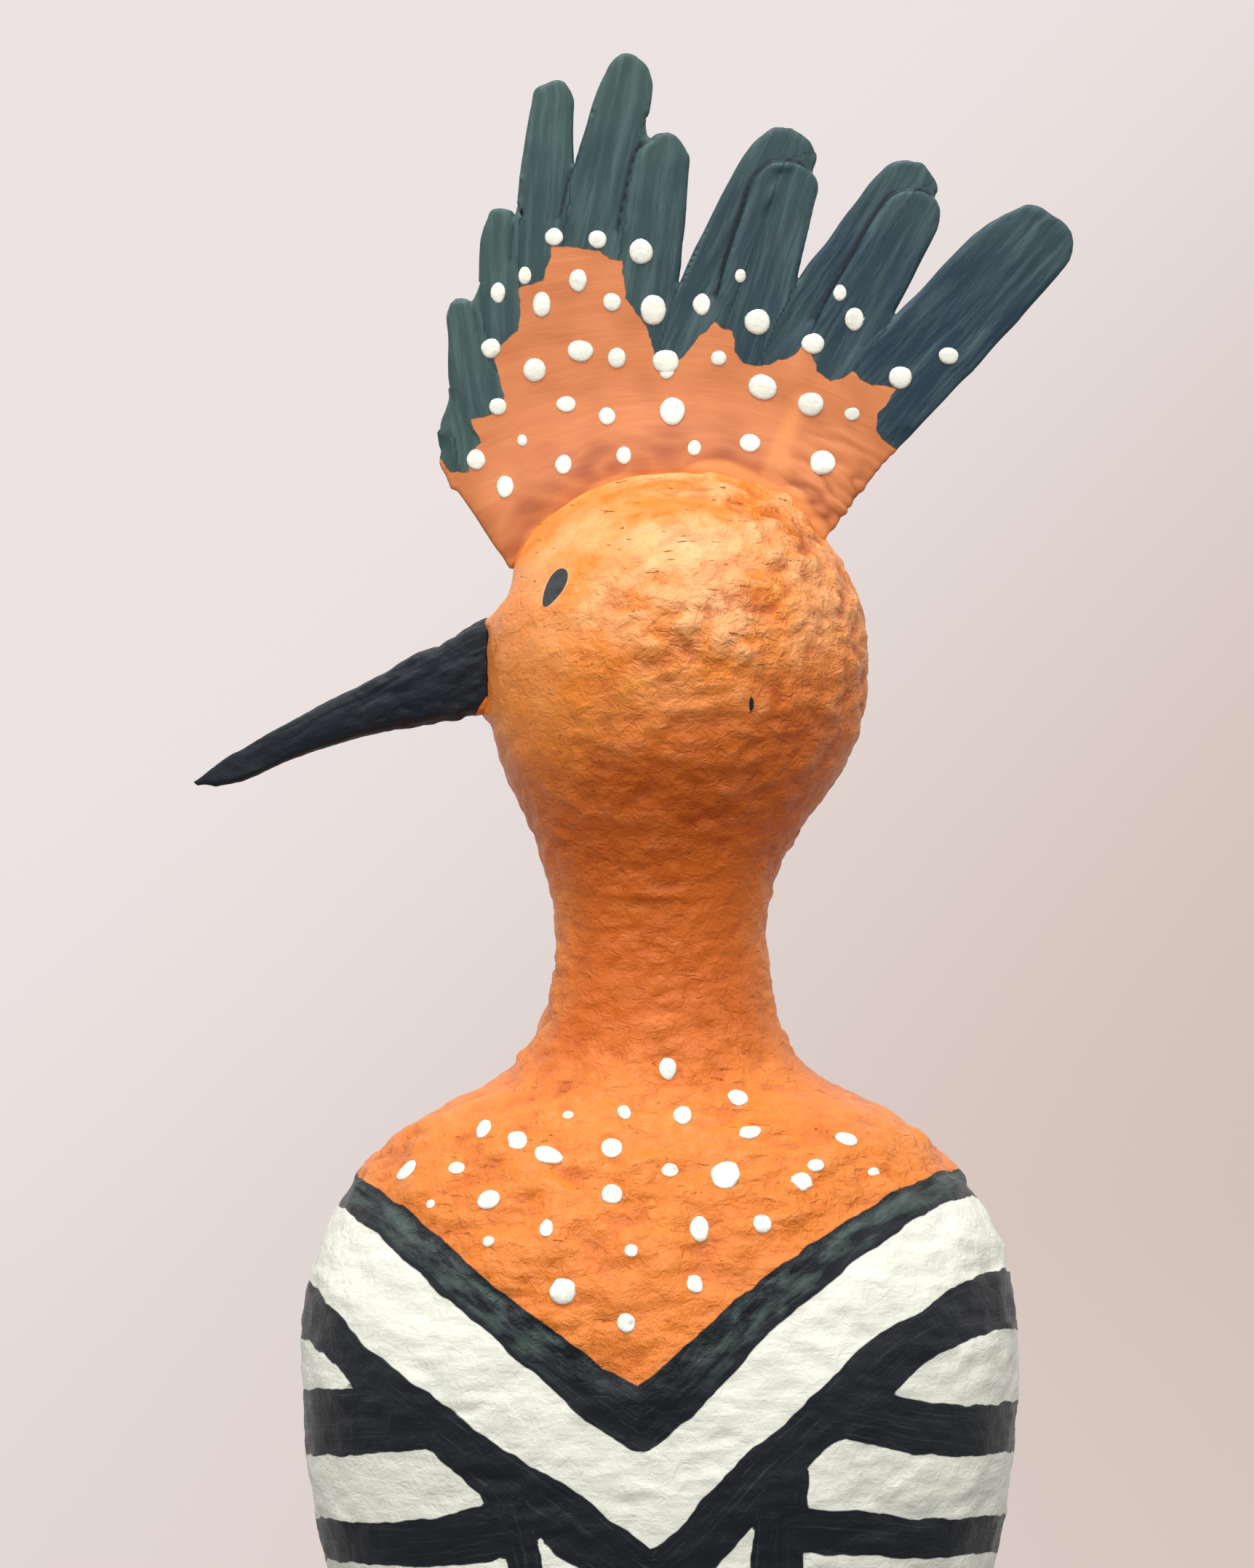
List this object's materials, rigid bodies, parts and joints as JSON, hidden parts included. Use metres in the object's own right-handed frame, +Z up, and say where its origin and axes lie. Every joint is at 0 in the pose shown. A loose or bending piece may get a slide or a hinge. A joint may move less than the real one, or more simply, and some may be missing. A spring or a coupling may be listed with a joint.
{
  "type": "papier-mache bird",
  "caption": "Hand-painted papier-mache hoopoe standing upright on a low foot, head turned over one wing, with a fan crest of layered feathers and a long drooping beak.",
  "frame": {"origin": "middle of the flat underside of the foot, on the surface that the figure stands on", "axes": "+Z up, -Y the way the painted breast faces, -X the way the beak points; the crest lies in the XZ plane"},
  "size_m": [0.1814, 0.094, 0.4619],
  "materials": {
    "painted_body": "papier-mache painted orange with black and white bands, satin varnish",
    "painted_crest": "layered card painted terracotta with brushed slate-black feather ends and raised white dots, satin varnish",
    "painted_beak": "rolled paper painted near black, glossy varnish"
  },
  "bodies": {
    "root": {"body": "painted_body", "crest": "painted_crest", "beak": "painted_beak"}
  },
  "joints": []
}
